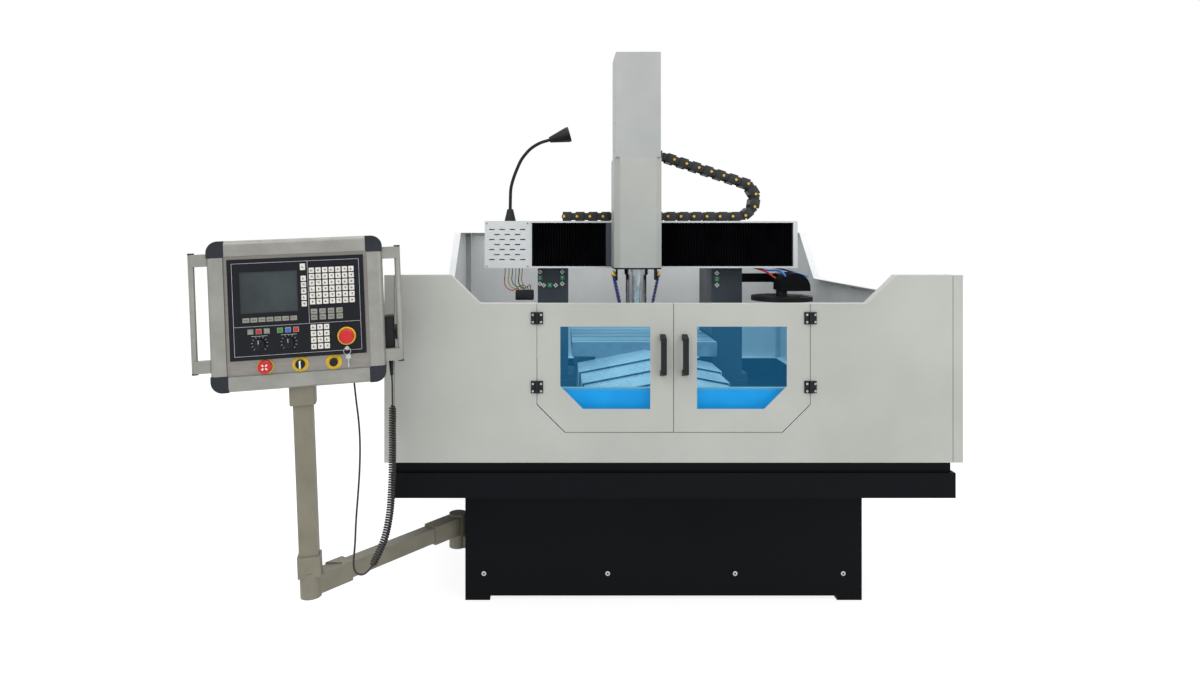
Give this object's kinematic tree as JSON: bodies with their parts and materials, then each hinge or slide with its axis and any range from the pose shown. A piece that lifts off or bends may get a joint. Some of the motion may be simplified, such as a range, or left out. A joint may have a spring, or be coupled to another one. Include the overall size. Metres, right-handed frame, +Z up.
{
  "type": "cnc milling machine",
  "caption": "Bridge milling machine with a moving slotted table, bellows covered cross beam, vertical spindle head, splash enclosure with glazed doors and a control pendant on a swing arm.",
  "frame": {"origin": "floor level at the centre of the four foot pads", "axes": "+X to the operator's right, +Y from the doors to the back, +Z up"},
  "size_m": [2.4393, 2.5084, 2.11],
  "materials": {
    "white_panels": "satin",
    "black_frame": "satin",
    "grey_castings": "satin",
    "iron": "ground",
    "steel": "ground",
    "bellows_cloth": "matt",
    "black_plastic": "matt",
    "blue_glazing": "clear",
    "aluminium": "anodised",
    "beige_tube": "satin",
    "stainless": "brushed",
    "navy_panel": "satin",
    "grey_plastic": "satin",
    "red_plastic": "gloss",
    "rubber": "matt",
    "hose_plastic": "satin"
  },
  "bodies": {
    "machine": {"base_frame": "black_frame", "chip_tray": "black_frame", "bed": "iron", "uprights": "grey_castings", "beam": "white_panels", "guide_rails": "steel", "axis_motors": "black_frame", "motor_box": "white_panels", "left_bellows": "bellows_cloth", "right_bellows": "bellows_cloth", "front_panel": "white_panels", "side_walls": "white_panels", "rear_wall": "white_panels", "end_way_covers": "stainless", "work_lamp": "black_plastic", "x_chain": "black_plastic", "carousel_mount": "black_frame", "arm_bracket": "beige_tube", "fixed_hinges": "black_plastic"},
    "x_screw": {"x_screw": "steel"},
    "y_screw": {"y_screw": "steel"},
    "table": {"work_table": "iron", "table_way_covers": "stainless"},
    "outer_covers": {"outer_way_covers": "stainless"},
    "inner_covers": {"inner_way_covers": "stainless"},
    "carriage": {"saddle": "grey_castings", "upper_cover": "white_panels", "lower_cover": "white_panels", "nose_plate": "black_frame", "coolant_hoses": "hose_plastic"},
    "z_screw": {"z_screw": "steel"},
    "head": {"ram": "grey_castings", "spindle_housing": "steel"},
    "spindle": {"spindle_nose": "steel"},
    "left_door": {"left_door": "white_panels", "left_window": "blue_glazing", "left_fittings": "black_plastic"},
    "right_door": {"right_door": "white_panels", "right_window": "blue_glazing", "right_fittings": "black_plastic"},
    "tool_disc": {"tool_disc": "black_plastic"},
    "arm": {"swing_arm": "beige_tube"},
    "pendant": {"pole": "beige_tube", "pendant_case": "stainless", "pendant_bars": "aluminium", "frame_corners": "black_plastic", "side_handles": "aluminium", "control_panel": "navy_panel", "lcd_screen": "black_plastic", "panel_keys": "grey_plastic", "wheel_box": "black_plastic", "wheel_lead": "rubber", "wheel_coil": "rubber"},
    "estop_button": {"estop_button": "red_plastic"},
    "red_button": {"red_button": "red_plastic"},
    "push_button": {"push_button": "black_plastic"},
    "selector_knob": {"selector_knob": "black_plastic"},
    "feed_knob": {"feed_knob": "black_plastic"},
    "speed_knob": {"speed_knob": "black_plastic"},
    "hand_wheel": {"hand_wheel": "black_plastic"}
  },
  "joints": [
    {"name": "table_slide", "type": "slide", "parent": "machine", "child": "table", "axis": [0, 1, 0], "range_m": [-0.591, 0]},
    {"name": "outer_cover_slide", "type": "slide", "parent": "machine", "child": "outer_covers", "axis": [0, 1, 0], "range_m": [-0.394, 0]},
    {"name": "inner_cover_slide", "type": "slide", "parent": "machine", "child": "inner_covers", "axis": [0, 1, 0], "range_m": [-0.197, 0]},
    {"name": "x_slide", "type": "slide", "parent": "machine", "child": "carriage", "axis": [1, 0, 0], "range_m": [-0.21, 0.37], "deforming": ["left_bellows", "right_bellows", "x_chain"]},
    {"name": "z_slide", "type": "slide", "parent": "carriage", "child": "head", "axis": [0, 0, 1], "range_m": [-0.09, 0.19]},
    {"name": "x_screw_turn", "type": "hinge", "parent": "machine", "child": "x_screw", "pos_m": [0, -0.12, 1.28], "axis": [1, 0, 0], "continuous": true},
    {"name": "y_screw_turn", "type": "hinge", "parent": "machine", "child": "y_screw", "pos_m": [0, 0, 0.722], "axis": [0, 1, 0], "continuous": true},
    {"name": "z_screw_turn", "type": "hinge", "parent": "carriage", "child": "z_screw", "pos_m": [-0.042, -0.22, 1.5], "axis": [0, 0, 1], "continuous": true},
    {"name": "spindle_turn", "type": "hinge", "parent": "head", "child": "spindle", "pos_m": [-0.042, -0.3, 1], "axis": [0, 0, 1], "continuous": true},
    {"name": "left_door_hinge", "type": "hinge", "parent": "machine", "child": "left_door", "pos_m": [-0.451, -1.2055, 0.9], "axis": [0, 0, -1], "range_deg": [0, 110]},
    {"name": "right_door_hinge", "type": "hinge", "parent": "machine", "child": "right_door", "pos_m": [0.451, -1.2055, 0.9], "axis": [0, 0, 1], "range_deg": [0, 110]},
    {"name": "tool_disc_turn", "type": "hinge", "parent": "machine", "child": "tool_disc", "pos_m": [0.602, -0.3, 1.046], "axis": [0, 0, 1], "continuous": true},
    {"name": "arm_swing", "type": "hinge", "parent": "machine", "child": "arm", "pos_m": [-0.757, -0.855, 0.25], "axis": [0, 0, 1], "range_deg": [-60, 15]},
    {"name": "pendant_swivel", "type": "hinge", "parent": "arm", "child": "pendant", "pos_m": [-1.147, -1.364, 0.275], "axis": [-0.0401, 0, 0.9992], "range_deg": [-100, 0]},
    {"name": "estop_press", "type": "slide", "parent": "pendant", "child": "estop_button", "axis": [-0.2077, 0.9781, -0.0083], "range_m": [0, 0.006], "stiffness_N_per_m": 600},
    {"name": "red_press", "type": "slide", "parent": "pendant", "child": "red_button", "axis": [-0.2077, 0.9781, -0.0083], "range_m": [0, 0.006], "stiffness_N_per_m": 600},
    {"name": "push_press", "type": "slide", "parent": "pendant", "child": "push_button", "axis": [-0.2077, 0.9781, -0.0083], "range_m": [0, 0.006], "stiffness_N_per_m": 600},
    {"name": "selector_turn", "type": "hinge", "parent": "pendant", "child": "selector_knob", "pos_m": [-1.16326, -1.40732, 0.93488], "axis": [0.2077, -0.9781, 0.0083], "range_deg": [-45, 45]},
    {"name": "feed_turn", "type": "hinge", "parent": "pendant", "child": "feed_knob", "pos_m": [-1.27489, -1.4407, 0.99945], "axis": [0.2077, -0.9781, 0.0083], "range_deg": [-135, 135]},
    {"name": "speed_turn", "type": "hinge", "parent": "pendant", "child": "speed_knob", "pos_m": [-1.19279, -1.42324, 1.00275], "axis": [0.2077, -0.9781, 0.0083], "range_deg": [-135, 135]},
    {"name": "hand_wheel_turn", "type": "hinge", "parent": "pendant", "child": "hand_wheel", "pos_m": [-0.90151, -1.28763, 1.01845], "axis": [0.9774, 0.2079, 0.0393], "continuous": true}
  ],
  "couplings": [
    {"joint": "outer_cover_slide", "follows": "table_slide", "ratio": 0.66667},
    {"joint": "inner_cover_slide", "follows": "table_slide", "ratio": 0.33333},
    {"joint": "y_screw_turn", "follows": "table_slide", "rad_per_m": 523.6},
    {"joint": "x_screw_turn", "follows": "x_slide", "rad_per_m": 523.6},
    {"joint": "z_screw_turn", "follows": "z_slide", "rad_per_m": 523.6}
  ]
}
